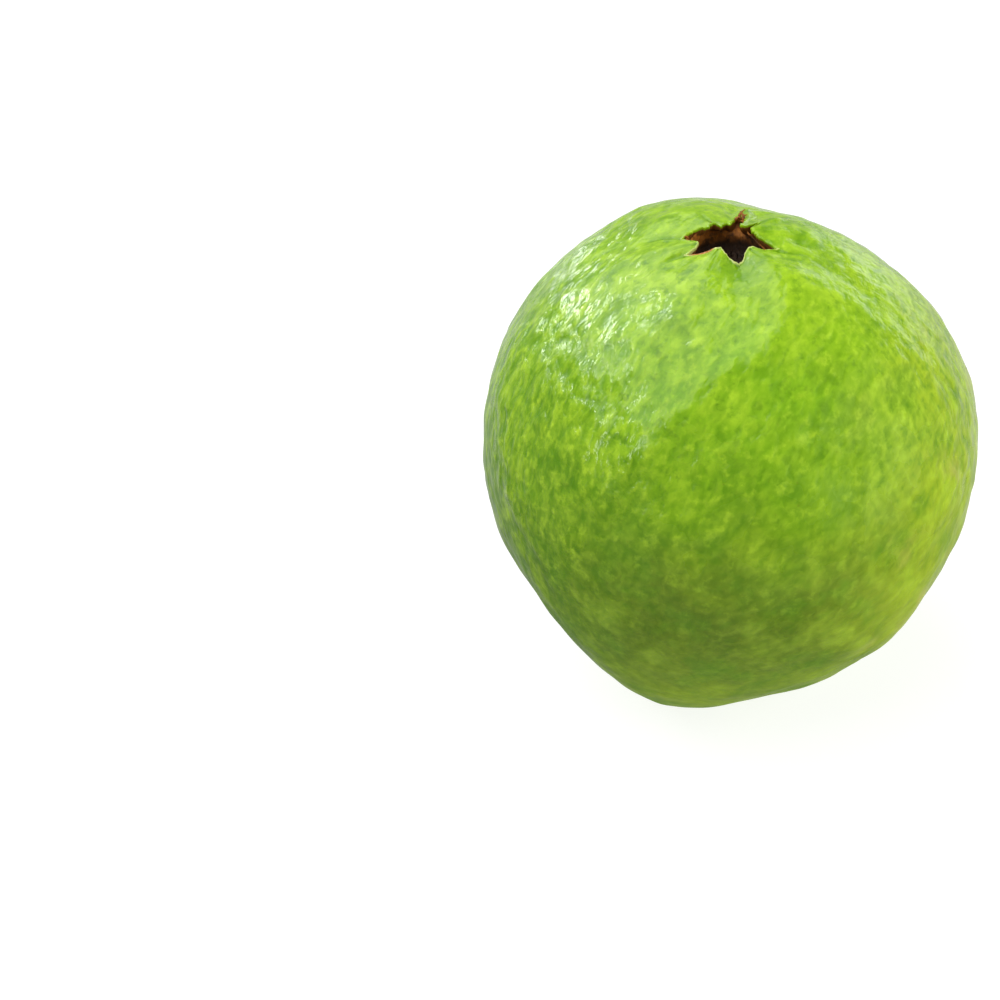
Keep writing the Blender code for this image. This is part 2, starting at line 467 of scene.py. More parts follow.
@dataclass(frozen=True)
class DryTissue:
    """Dead flower tissue: red-brown and fibrous, with dark stains, and painted shade that turns it almost
    black towards the bottom of the cup.
    """

    name: str = "dry_calyx"
    orange: Colour = (0.520, 0.190, 0.020)
    brown: Colour = (0.300, 0.105, 0.011)
    dark: Colour = (0.014, 0.007, 0.003)
    fibre_size: float = 0.00045
    fibre_height: float = 0.00025
    stain_size: float = 0.0016
    painted_shade_start: float = 0.0057
    painted_shade_full: float = 0.0038

    def build(self, floor: float) -> bpy.types.Material:
        """Makes the material.

        Args:
            floor: height of the bottom of the cup, where the painted shade is darkest.

        Returns:
            The material.
        """
        graph = Graph(bpy.data.materials.new(self.name))
        place = graph.place()
        _, _, height = graph.axes(place)
        wavy = graph.nudged(place, 0.0012, 0.0004)
        fibres = graph.cloud(graph.scaled(wavy, (1.0, 1.0, 0.30)), self.fibre_size, 3.0, 0.6)
        stains = graph.cloud(place, self.stain_size, 3.0)
        colour = graph.blend(fibres.step(0.48, 0.72), self.brown, self.orange)
        colour = graph.blend(stains.step(0.50, 0.36) * 0.7, colour, self.dark)
        # Painted shade: darker with depth in the cup, almost black near its floor.
        painted_shade_height = stains * self.stain_size + height
        deep = painted_shade_height.step(floor + self.painted_shade_start, floor + self.painted_shade_full)
        colour = graph.blend(deep * 0.95, colour, self.dark)
        rough = stains * 0.3 + 0.55
        relief = graph.relief(fibres * self.fibre_height)
        return graph.finish(Base_Color=colour, Roughness=rough, Normal=relief, Specular_IOR_Level=0.35)


@dataclass(frozen=True)
class StalkBark:
    """The cut stalk: grey-brown bark with darker cracks, and paler wood on its broken end."""

    bark: Colour = (0.120, 0.085, 0.040)
    crack: Colour = (0.030, 0.020, 0.010)
    wood: Colour = (0.330, 0.240, 0.120)
    fibre_size: float = 0.00028
    fibre_height: float = 0.00018

    def build(self) -> bpy.types.Material:
        """Makes the material.

        Returns:
            The material.
        """
        graph = Graph(bpy.data.materials.new("stalk_bark"))
        place = graph.place()
        fibres = graph.cloud(graph.scaled(place, (1.0, 1.0, 0.22)), self.fibre_size, 3.0, 0.6)
        end = graph.attribute("broken_end")
        colour = graph.blend(fibres.step(0.40, 0.62), self.crack, self.bark)
        colour = graph.blend(end * fibres.step(0.25, 0.60), colour, self.wood)
        relief = graph.relief(fibres * self.fibre_height)
        return graph.finish(Base_Color=colour, Roughness=fibres * 0.2 + 0.70, Normal=relief)


@dataclass(frozen=True)
class StudioPaper:
    """Plain white paper, lit a little from behind so that shadows on it stay pale."""

    white: Colour = (0.22, 0.22, 0.22)
    glow: float = 0.84

    def build(self) -> bpy.types.Material:
        """Makes the material.

        Returns:
            The material.
        """
        graph = Graph(bpy.data.materials.new("studio_paper"))
        return graph.finish(
            Base_Color=self.white, Roughness=0.9, Emission_Color=(1.0, 1.0, 1.0), Emission_Strength=self.glow
        )


# ---- The fruit's growth ----------------------------------------------------


def smooth_step(low: float, high: float, value: np.ndarray) -> np.ndarray:
    """A smooth rise from 0 at low to 1 at high, which may run downwards.

    Args:
        low: the value that gives 0.
        high: the value that gives 1.
        value: the values to look up.

    Returns:
        The share at each value.
    """
    share = np.clip((value - low) / (high - low), 0.0, 1.0)
    return share * share * (3.0 - 2.0 * share)


def noise_at(points: np.ndarray, feature: float, start: float = 0.0) -> np.ndarray:
    """Smooth noise at each point.

    Args:
        points: rows of three coordinates.
        feature: size of the noise's features.
        start: where in the endless noise to begin, so that two fields differ.

    Returns:
        Numbers between about -1 and 1.
    """
    places = points / feature + start
    return np.array([noise.noise(place) for place in places])


@dataclass(frozen=True)
class Layer:
    """A layer of unevenness: the size of its features, its height, and where in the noise it begins."""

    feature: float
    height: float
    start: float

    def at(self, points: np.ndarray) -> np.ndarray:
        """What it adds at each point."""
        return self.height * noise_at(points, self.feature, self.start)


def on_ring(azimuth: np.ndarray, height: np.ndarray | float = 0.0) -> np.ndarray:
    """Points at these azimuths, in radians, and heights on a tube of radius 1."""
    heights = np.broadcast_to(height, azimuth.shape)
    return np.stack([np.cos(azimuth), np.sin(azimuth), heights], axis=1)


def evenly(corners: np.ndarray, count: int, to_end: bool) -> np.ndarray:
    """Points at even steps along a bent line.

    Args:
        corners: the line's corners, as rows of two coordinates.
        count: how many points.
        to_end: whether the last one is on the last corner.

    Returns:
        The points, as rows.
    """
    lengths = np.append(0.0, np.cumsum(np.linalg.norm(np.diff(corners, axis=0), axis=1)))
    along = np.linspace(0.0, lengths[-1], count, endpoint=to_end)
    return np.stack([np.interp(along, lengths, corners[:, k]) for k in (0, 1)], axis=1)


def directions(azimuth: np.ndarray, polar: np.ndarray) -> np.ndarray:
    """Unit vectors at azimuths and angles from the calyx.

    Args:
        azimuth: angles round the fruit, in radians.
        polar: angles from the calyx, in radians.

    Returns:
        One row for each.
    """
    flat = np.sin(polar)
    return np.stack([flat * np.cos(azimuth), flat * np.sin(azimuth), np.cos(polar)], axis=-1)


def angle_from(points: np.ndarray, towards: np.ndarray) -> np.ndarray:
    """Angle of each point from a unit vector, seen from the fruit's centre, in radians."""
    lengths = np.maximum(np.linalg.norm(points, axis=1), 1e-9)
    return np.arccos(np.clip(points @ towards / lengths, -1.0, 1.0))


@dataclass(frozen=True)
class Swelling:
    """A broad rise or dip of the fruit, in degrees and as a share of its radius."""

    azimuth: float
    polar: float
    width: float
    height: float

    def share(self, points: np.ndarray) -> np.ndarray:
        """What it adds to the radius at each point, as a share."""
        middle = directions(np.radians(self.azimuth), np.radians(self.polar))
        return self.height * np.exp(-((angle_from(points, middle) / math.radians(self.width)) ** 2))


@dataclass(frozen=True)
class Growth:
    """How a blank turned about the fruit's axis grows into the fruit, its centre at the origin, calyx up.

    The sizes are those of the solids, so that the pieces made with it lie where the solids are.
    """

    body_radius: float = 0.0432
    mouth_radius: float = 0.0062
    star_reach: float = 0.0155
    star_sharpness: float = 2.2
    flap_rise: float = 0.0006
    cup_radius: float = 0.0070
    cup_depth: float = 0.0078
    lip_depth: float = 0.0008
    star_depth: float = 0.0030
    throat_depth: float = 0.0018
    cup_turn: tuple[tuple[float, float], ...] = ((1.0, 0.0050), (0.93, 0.0063), (0.70, 0.0072))
    gap: float = 0.0003
    stem_hollow_depth: float = 0.0060
    stem_hollow_width: float = 0.22
    corner_azimuths: tuple[float, ...] = (-155.0, -75.0, -10.0, 75.0, 170.0)
    corner_radii: tuple[float, ...] = (0.0080, 0.0069, 0.0082, 0.0092, 0.0080)
    flap_radii: tuple[float, ...] = (0.0038, 0.0044, 0.0042, 0.0064, 0.0050)
    lobe_at_calyx: float = 0.010
    lobe_at_waist: float = 0.004
    lobe_at_stem: float = 0.016
    swellings: tuple[Swelling, ...] = (
        Swelling(-112, 145, 21, 0.046),
        Swelling(118, 34, 24, 0.032),
        Swelling(155, 58, 26, 0.030),
        Swelling(10, 70, 24, 0.012),
        Swelling(46, 47, 26, -0.030),
        Swelling(-26, 122, 34, -0.024),
        Swelling(-165, 122, 26, -0.022),
        Swelling(-60, 62, 20, -0.010),
        Swelling(-140, 48, 22, -0.008),
        Swelling(-58, 142, 7, 0.014),
        Swelling(32, 163, 13, 0.022),
        Swelling(116, 163, 13, 0.019),
        Swelling(-46, 163, 12, 0.017),
    )

    @property
    def mouth_polar(self) -> float:
        """Angle from the axis at which the mouth opens."""
        return math.asin(self.mouth_radius / self.body_radius)

    @property
    def mouth_height(self) -> float:
        """Height of the blank's mouth over the fruit's centre."""
        return self.body_radius * math.cos(self.mouth_polar)

    def cup_wall(self) -> list[tuple[float, float]]:
        """The cup's wall, from under the mouth down: distances from the axis, and depths under the mouth."""
        throat = (self.mouth_radius + self.cup_radius) / 2.0
        turn = [(share * self.cup_radius, depth) for share, depth in self.cup_turn]
        return [(throat, self.throat_depth), (self.cup_radius, self.star_depth), *turn]

    def skin_radius(self, polar: np.ndarray) -> np.ndarray:
        """Distance from the centre to the blank's skin at an angle from the calyx."""
        hollow = np.exp(-(((math.pi - polar) / self.stem_hollow_width) ** 2))
        return self.body_radius - self.stem_hollow_depth * hollow

    def between_furrows(self, azimuth: np.ndarray) -> tuple[np.ndarray, np.ndarray, np.ndarray]:
        """Where each azimuth lies among the furrows.

        Args:
            azimuth: angles round the fruit, in radians.

        Returns:
            The number of the furrow before it, how far on it is to the next, and the angle between the two.
        """
        furrows = np.radians(self.corner_azimuths)
        place = (azimuth - furrows[0]) % math.tau
        starts = furrows - furrows[0]
        before = np.clip(np.searchsorted(starts, place, side="right") - 1, 0, len(starts) - 1)
        gaps = np.diff(np.append(starts, math.tau))
        return before, (place - starts[before]) / gaps[before], gaps[before]

    def lobe(self, azimuth: np.ndarray) -> np.ndarray:
        """Height of the lobes round the fruit: 0 in a furrow, and 1 on the crest of a wide lobe."""
        _, share, gap = self.between_furrows(azimuth)
        even_gap = math.tau / len(self.corner_azimuths)
        return np.sin(math.pi * share) ** 2 * np.minimum(1.0, gap / even_gap)

    def star(self, azimuth: np.ndarray) -> np.ndarray:
        """Radius of the star-shaped mouth."""
        before, share, _ = self.between_furrows(azimuth)
        corners, flaps = np.array(self.corner_radii), np.array(self.flap_radii)
        corner = corners[np.where(share < 0.5, before, (before + 1) % len(corners))]
        return flaps[before] + (corner - flaps[before]) * np.abs(2.0 * share - 1.0) ** self.star_sharpness

    def lobe_height(self, polar: np.ndarray) -> np.ndarray:
        """Height of the lobes at an angle from the calyx, as a share of the radius."""
        below = smooth_step(0.35 * math.pi, 0.85 * math.pi, polar)
        above = smooth_step(0.45 * math.pi, 0.10 * math.pi, polar)
        height = self.lobe_at_waist + (self.lobe_at_stem - self.lobe_at_waist) * below
        height = height + (self.lobe_at_calyx - self.lobe_at_waist) * above
        return height * smooth_step(0.02, 0.30, np.sin(polar))

    def near_mouth(self, points: np.ndarray) -> np.ndarray:
        """How far each point of a blank takes part in the star, from 0 to 1."""
        away = np.hypot(points[:, 0], points[:, 1])
        share = smooth_step(self.star_reach, self.mouth_radius, away)
        share = share * smooth_step(0.0, self.body_radius, points[:, 2])
        inside = away < self.cup_radius + self.gap
        depth = np.where(inside, np.maximum(0.0, self.mouth_height - points[:, 2]), 0.0)
        return share * smooth_step(self.star_depth, self.lip_depth, depth)

    def grow(self, points: np.ndarray, star: np.ndarray | None = None) -> np.ndarray:
        """Moves points of a turned blank to where the grown fruit has them.

        Args:
            points: rows of three coordinates.
            star: radius of the mouth at each point, where it isn't the plain star.

        Returns:
            The moved points.
        """
        azimuth = np.arctan2(points[:, 1], points[:, 0])
        polar = np.arctan2(np.hypot(points[:, 0], points[:, 1]), points[:, 2])
        near = self.near_mouth(points)
        radius = self.star(azimuth) if star is None else star
        stretch = 1.0 + near * (radius / self.mouth_radius - 1.0)
        share = 1.0 + sum(swelling.share(points) for swelling in self.swellings)
        wave = 2.0 * self.lobe(azimuth) - 1.0
        share = share + self.lobe_height(polar) * wave
        grown = points * np.stack([stretch, stretch, np.ones_like(stretch)], axis=1) * share[:, None]
        grown[:, 2] += self.flap_rise * near * wave
        return grown

    def stand(self) -> Vector:
        """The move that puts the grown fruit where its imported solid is.

        Returns:
            The move from the fruit's own centre to the row's frame.
        """
        low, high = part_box("fruit")
        azimuth, polar = np.meshgrid(np.radians(np.arange(0, 360, 5)), np.linspace(self.mouth_polar, 2.4, 60))
        azimuth, polar = azimuth.ravel(), polar.ravel()
        blank = directions(azimuth, polar) * self.skin_radius(polar)[:, None]
        grown = self.grow(blank)
        middle = (grown.min(axis=0) + grown.max(axis=0)) / 2.0
        rise = high[2] - grown[:, 2].max()
        return Vector(((low[0] + high[0]) / 2.0 - middle[0], (low[1] + high[1]) / 2.0 - middle[1], rise))


# ---- Mesh helpers ----------------------------------------------------------


def read_points(mesh: bpy.types.Mesh) -> np.ndarray:
    """The mesh's points as rows of three coordinates."""
    flat = np.empty(len(mesh.vertices) * 3)
    mesh.vertices.foreach_get("co", flat)
    return flat.reshape(-1, 3)


def write_points(mesh: bpy.types.Mesh, points: np.ndarray) -> None:
    """Moves the mesh's points to these rows of three coordinates."""
    mesh.vertices.foreach_set("co", points.ravel())
    mesh.update()


def read_normals(mesh: bpy.types.Mesh) -> np.ndarray:
    """The normal at each of the mesh's points."""
    flat = np.empty(len(mesh.vertices) * 3)
    mesh.vertex_normals.foreach_get("vector", flat)
    return flat.reshape(-1, 3)


def store(mesh: bpy.types.Mesh, name: str, values: np.ndarray) -> None:
    """Stores a number or a vector on each of the mesh's points, for its material to read."""
    kind = "FLOAT" if values.ndim == 1 else "FLOAT_VECTOR"
    key = "value" if values.ndim == 1 else "vector"
    made = mesh.attributes.new(name, kind, "POINT")
    made.data.foreach_set(key, values.astype(np.float32).ravel())


def turned_ball(
    name: str, columns: int, outline: np.ndarray
) -> tuple[bpy.types.Object, np.ndarray, np.ndarray]:
    """A ball whose rings are moved to the rings of a turned outline.

    Args:
        name: the object's name.
        columns: steps round the axis.
        outline: rows of distance from the axis and height, from the upper pole to the lower one.

    Returns:
        The object, the row of the outline at each of its points, and the azimuth there.
    """
    bpy.ops.object.select_all(action="DESELECT")
    bpy.ops.mesh.primitive_uv_sphere_add(segments=columns, ring_count=len(outline) - 1, radius=1.0)
    ball = bpy.context.active_object
    ball.name = name
    ball.data.name = name
    points = read_points(ball.data)
    polar = np.arccos(np.clip(points[:, 2], -1.0, 1.0))
    row = np.rint(polar / math.pi * (len(outline) - 1)).astype(int)
    azimuth = np.arctan2(points[:, 1], points[:, 0])
    away, height = outline[row, 0], outline[row, 1]
    write_points(ball.data, np.stack([away * np.cos(azimuth), away * np.sin(azimuth), height], axis=1))
    bpy.ops.object.shade_smooth()
    return ball, row, azimuth


def finish_piece(piece: bpy.types.Object, material: bpy.types.Material, slot: str, *nodes: str) -> None:
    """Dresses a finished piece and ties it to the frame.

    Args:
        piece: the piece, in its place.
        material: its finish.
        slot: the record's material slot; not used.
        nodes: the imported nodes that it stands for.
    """
    piece.data.materials.clear()
    piece.data.materials.append(material)
    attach(piece, ROOT)
    if nodes:
        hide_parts(*nodes)
    LOG.info("%s: %d faces", piece.name, len(piece.data.polygons))


# ---- The fruit -------------------------------------------------------------


@dataclass(frozen=True)
class Curl:
    """A place where the mouth's lip curls in over the cup. Its middle and width are in degrees."""

    azimuth: float
    width: float
    reach: float
    rise: float


@dataclass
class FruitSkin:
    """The whole outside of the fruit and the wall of the cup under its mouth, as one closed skin."""

    growth: Growth
    columns: int = 360
    cup_rows: int = 40
    lip_rows: int = 12
    calyx_rows: int = 50
    side_rows: int = 140
    stem_rows: int = 28
    calyx_end: float = 0.45
    stem_end: float = 0.45
    lip_radius: float = 0.00025
    slit_azimuth: float = 45.0
    slit_width: float = 4.5
    slit_radius: float = 0.0068
    curls: tuple[Curl, ...] = (
        Curl(60, 8, 0.0028, 0.0015),
        Curl(88, 5, 0.0012, 0.0002),
        Curl(107, 18, 0.0022, -0.0004),
        Curl(136, 12, 0.0014, -0.0003),
        Curl(-75, 8, 0.0006, 0.0),
    )
    scorch_azimuth: float = -138.0
    scorch_width: float = 15.0
    dimple: tuple[float, float] = (10.0, 17.0)
    dark_spot: tuple[float, float] = (-78.0, 13.0)
    ridge: tuple[tuple[float, float], ...] = ((-30, 12), (-67, 31), (-103, 46), (-115, 60), (-125, 80))
    ridge_height: float = 0.0011
    ridge_width: float = 6.0
    tears: tuple[Layer, ...] = (Layer(0.16, 0.00026, 3.1), Layer(0.05, 0.00018, 7.7))
    lumps: tuple[Layer, ...] = (Layer(0.0115, 0.00036, 5.0), Layer(0.0055, 0.00026, 9.0))
    wrinkles: Layer = Layer(0.0026, 0.00012, 2.0)
    streaks: Layer = Layer(0.065, 0.00010, 4.0)
    wander: Layer = Layer(0.006, 0.0012, 1.3)
    teeth: Layer = Layer(0.0009, 0.00018, 2.5)
    crease_depth: float = 0.00030
    dimple_depth: float = 0.00070
    piece: bpy.types.Object | None = field(default=None, init=False)

    def outline(self) -> tuple[np.ndarray, np.ndarray, np.ndarray]:
        """The turned outline, from the middle of the cup's floor over the lip and down to the stem hollow.

        Returns:
            Rows of distance from the axis and height, how much of the lip each row is, and how far into the
            cup it is.
        """
        grown = self.growth
        top = grown.mouth_height
        lip = self.lip_radius
        wall_key = np.array(
            [
                (0.0, grown.cup_depth),
                (0.38 * grown.cup_radius, grown.cup_depth - 0.0001),
                *reversed(grown.cup_wall()),
                (grown.mouth_radius, lip),
            ]
        )
        wall = evenly(wall_key, self.cup_rows, to_end=False)
        wall[:, 1] = top - wall[:, 1]

        turn = np.linspace(math.pi, math.radians(98), self.lip_rows, endpoint=False)
        middle = (grown.mouth_radius + lip, top - lip)
        roll = np.stack([middle[0] + lip * np.cos(turn), middle[1] + lip * np.sin(turn)], axis=1)

        first = math.asin((grown.mouth_radius + lip) / grown.body_radius)
        polar = np.concatenate(
            [
                np.linspace(first, self.calyx_end, self.calyx_rows, endpoint=False),
                np.linspace(self.calyx_end, math.pi - self.stem_end, self.side_rows, endpoint=False),
                np.linspace(math.pi - self.stem_end, math.pi, self.stem_rows + 1),
            ]
        )
        radius = grown.skin_radius(polar)
        skin = np.stack([radius * np.sin(polar), radius * np.cos(polar)], axis=1)
        skin[-1, 0] = 0.0

        rows = np.concatenate([wall, roll, skin])
        lipness = np.zeros(len(rows))
        start = len(wall)
        lipness[start - 1 : start + self.lip_rows + 1] = 1.0
        lipness[start + self.lip_rows + 1] = 0.5
        depth = np.zeros(len(rows))
        depth[:start] = (top - wall[:, 1]) / grown.cup_depth
        return rows, lipness, depth

    @staticmethod
    def off(azimuth: np.ndarray, middle: float) -> np.ndarray:
        """How far each azimuth, in radians, is from a middle one in degrees, as degrees."""
        return (np.degrees(azimuth) - middle + 180.0) % 360.0 - 180.0

    def curled(self, azimuth: np.ndarray, sizes: tuple[float, ...]) -> np.ndarray:
        """How far the lip's curls move it at each azimuth.

        Args:
            azimuth: angles round the axis, in radians.
            sizes: how far each curl moves the lip at its middle.

        Returns:
            The move, in metres.
        """
        moves = np.zeros_like(azimuth)
        for curl, size in zip(self.curls, sizes):
            moves += size * np.exp(-((self.off(azimuth, curl.azimuth) / curl.width) ** 2))
        return moves

    def ragged_star(self, azimuth: np.ndarray) -> np.ndarray:
        """Radius of the mouth with its torn edge, its curls, and the slit beside the curled tongue.

        Args:
            azimuth: angles round the axis, in radians.

        Returns:
            The radius at each point.
        """
        star = self.growth.star(azimuth)
        ring = on_ring(azimuth)
        torn = sum(layer.at(ring) for layer in self.tears)
        star = star + torn * (1.0 + smooth_step(0.0, 0.8, ring[:, 1]))
        star = star - self.curled(azimuth, tuple(curl.reach for curl in self.curls))
        slit = np.exp(-((self.off(azimuth, self.slit_azimuth) / self.slit_width) ** 2))
        return star + (self.slit_radius - star) * slit

    def ridge_rise(self, points: np.ndarray) -> np.ndarray:
        """Height of the soft diagonal ridge across the front, in metres."""
        keys = directions(*np.radians(np.array(self.ridge, dtype=float)).T)
        nearest = np.full(len(points), 10.0)
        along = np.zeros(len(points))
        steps = 24
        for k, (start, end) in enumerate(zip(keys, keys[1:])):
            for step in range(steps):
                share = step / steps
                middle = start * (1.0 - share) + end * share
                angle = angle_from(points, middle / np.linalg.norm(middle))
                closer = angle < nearest
                nearest = np.where(closer, angle, nearest)
                along = np.where(closer, (k + share) / (len(keys) - 1), along)
        crest = 1.0 / (1.0 + (nearest / math.radians(self.ridge_width)) ** 2) ** 1.5
        fade = smooth_step(1.0, 0.72, along) * smooth_step(0.0, 0.12, along)
        return self.ridge_height * crest * fade

    def creases(self, points: np.ndarray, azimuth: np.ndarray) -> np.ndarray:
        """How deep in a crease each point is, from 0 to 1. The creases run out from the star's corners."""
        away = np.hypot(points[:, 0], points[:, 1])
        wander = self.wander.at(points)
        depth = np.zeros(len(points))
        azimuths = (*self.growth.corner_azimuths, self.slit_azimuth, -118.0, -42.0, 118.0, -168.0)
        reaches = (0.017, 0.010, 0.020, 0.014, 0.018, 0.012, 0.010, 0.011, 0.013, 0.016)
        for middle, reach in zip(azimuths, reaches):
            off = np.radians(self.off(azimuth, middle))
            across = np.abs(np.sin(off) * away + wander) + np.where(np.abs(off) > 1.2, 1.0, 0.0)
            width = 0.00035 + 0.035 * np.maximum(0.0, away - 0.006)
            depth = np.maximum(depth, np.exp(-((across / width) ** 2)) * smooth_step(reach, 0.006, away))
        return depth * (points[:, 2] > 0.0)

    @staticmethod
    def spot(points: np.ndarray, place: tuple[float, float], width: float) -> np.ndarray:
        """A soft round spot on the skin.

        Args:
            points: the blank's points.
            place: the spot's azimuth and angle from the calyx, in degrees.
            width: distance from its middle at which it has faded to a third.

        Returns:
            The spot's strength at each point, from 0 to 1.
        """
        middle = directions(*np.radians(np.array(place)))
        away = angle_from(points, middle) * np.linalg.norm(points, axis=1)
        return np.exp(-((away / width) ** 2))

    def build(self, move: Vector) -> bpy.types.Object:
        """Models the skin.

        Args:
            move: from the fruit's own centre to the row's frame.

        Returns:
            The piece.
        """
        outline, lipness, cup_depth = self.outline()
        piece, row, azimuth = turned_ball("fruit_skin", self.columns, outline)
        mesh = piece.data
        blank = read_points(mesh)
        polar = np.arctan2(np.hypot(blank[:, 0], blank[:, 1]), blank[:, 2])
        outside = (row > self.cup_rows + self.lip_rows).astype(float)
        near = self.growth.near_mouth(blank)

        grown = self.growth.grow(blank, self.ragged_star(azimuth))
        grown[:, 2] += self.curled(azimuth, tuple(curl.rise for curl in self.curls)) * near**2
        write_points(mesh, grown)
        normals = read_normals(mesh)

        grain = on_ring(azimuth, 0.45 * polar)
        side = np.abs(np.cos(azimuth)) ** 2
        streaked = side * smooth_step(2.3, 1.0, polar) * smooth_step(0.35, 0.80, polar)
        left = directions(np.radians(-150.0), np.radians(60.0))
        wrinkled = smooth_step(1.9, 0.9, polar) * 0.6 + smooth_step(1.1, 0.2, angle_from(blank, left)) * 0.4
        crease = self.creases(blank, azimuth)
        dimple = self.spot(blank, self.dimple, 0.0014)
        dark_spot = self.spot(blank, self.dark_spot, 0.0034)

        rise = self.ridge_rise(blank) + sum(layer.at(blank) for layer in self.lumps)
        rise += self.wrinkles.at(blank) * (0.5 + wrinkled) + self.streaks.at(grain) * streaked
        rise -= self.crease_depth * crease + self.dimple_depth * dimple
        settled = smooth_step(0.0, 0.0016, grown[:, 2] - grown[:, 2].min())
        moved = grown + normals * (rise * outside * settled)[:, None]
        lip = lipness[row]
        moved[:, 2] += self.teeth.at(grown) * lip
        moved += np.array(move)
        moved[:, 2] = np.maximum(moved[:, 2], 0.0)
        write_points(mesh, moved)

        front = smooth_step(0.25, -0.45, np.sin(azimuth))
        scorched = np.exp(-((self.off(azimuth, self.scorch_azimuth) / self.scorch_width) ** 2))
        marks = {
            "lip": lip * (0.30 + 0.70 * front),
            "scorched": lip * scorched,
            "cup": cup_depth[row],
            # Creases and the dimple, which the finish darkens with painted shade.
            "crease": np.maximum(crease, 0.8 * dimple) * outside,
            "dark_spot": dark_spot * outside,
            "streaked": streaked * outside,
            "wrinkled": wrinkled * outside,
            "grain": grain,
        }
        for name, values in marks.items():
            store(mesh, name, values)
        self.piece = piece
        return piece

    def dress(self) -> None:
        """Gives the skin its finish and ties it to the frame."""
        low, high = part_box("fruit")
        finish_piece(self.piece, WaxySkin().build((low[2], high[2]), high[0]), "waxy_skin", "fruit")


@dataclass
class CalyxLining:
    """The dry lining of the cup, torn along its upper edge, with the floor that the style stands on."""

    growth: Growth
    columns: int = 180
    wall_rows: int = 44
    floor_rows: int = 12
    thickness: float = 0.00040
    clearance: float = 0.00018
    floor_share: float = 0.62
    front_top: float = 0.0030
    back_top: float = 0.0009
    tears: tuple[Layer, ...] = (Layer(0.22, 0.0007, 1.0), Layer(0.07, 0.0005, 8.0))
    folds: tuple[Layer, ...] = (Layer(0.12, 0.00022, 2.0), Layer(0.05, 0.00012, 5.0))
    fold_stretches: tuple[float, ...] = (60.0, 90.0)
    piece: bpy.types.Object | None = field(default=None, init=False)

    def wall_radius(self, depth: np.ndarray) -> np.ndarray:
        """Distance from the axis to the cup's wall in the blank, at a depth under the mouth."""
        grown = self.growth
        wall = [(grown.mouth_radius, 0.0), *grown.cup_wall(), (0.0, grown.cup_depth)]
        away, depths = np.array(wall).T
        return np.interp(depth, depths, away)

    def build(self, move: Vector) -> bpy.types.Object:
        """Models the lining.

        Args:
            move: from the fruit's own centre to the row's frame.

        Returns:
            The piece.
        """
        rows = 2 * (self.wall_rows + self.floor_rows)
        outline = np.zeros((rows + 1, 2))
        outline[:, 0] = np.sin(np.linspace(0.0, math.pi, rows + 1))
        piece, row, azimuth = turned_ball("calyx_lining", self.columns, outline)
        mesh = piece.data

        half = rows // 2
        inner = row <= half
        along = np.where(inner, row / half, (rows - row) / half)
        ring = on_ring(azimuth)
        back = 0.5 + 0.5 * np.sin(azimuth)
        rim = self.front_top + (self.back_top - self.front_top) * smooth_step(0.25, 0.75, back)
        rim = np.maximum(rim + sum(layer.at(ring) for layer in self.tears), 0.0005)

        floor_end = self.floor_rows / half
        floor_radius = self.floor_share * self.growth.cup_radius
        bottom = self.growth.cup_depth - self.clearance
        depth = bottom + (rim - bottom) * np.clip((along - floor_end) / (1.0 - floor_end), 0.0, 1.0)
        turned_up = smooth_step(floor_end, floor_end + 0.10, along)
        radius = floor_radius + (self.wall_radius(depth) - floor_radius) * turned_up
        radius = np.where(along < floor_end, floor_radius * along / floor_end, radius)
        folded = zip(self.folds, self.fold_stretches)
        fold = sum(layer.at(on_ring(azimuth, depth * stretch)) for layer, stretch in folded)
        inward = self.clearance + np.where(inner, self.thickness, 0.0) + np.abs(fold)
        radius = np.maximum(radius - inward, 0.0)
        depth = depth - np.where(inner, self.thickness * smooth_step(1.0, 0.9, along), 0.0)
        blank = np.stack([radius * ring[:, 0], radius * ring[:, 1], self.growth.mouth_height - depth], axis=1)
        write_points(mesh, self.growth.grow(blank) + np.array(move))
        self.piece = piece
        return piece

    def dress(self, finish: bpy.types.Material) -> None:
        """Gives the lining its finish and ties it to the frame."""
        finish_piece(self.piece, finish, "dry_calyx", "dried_calyx")


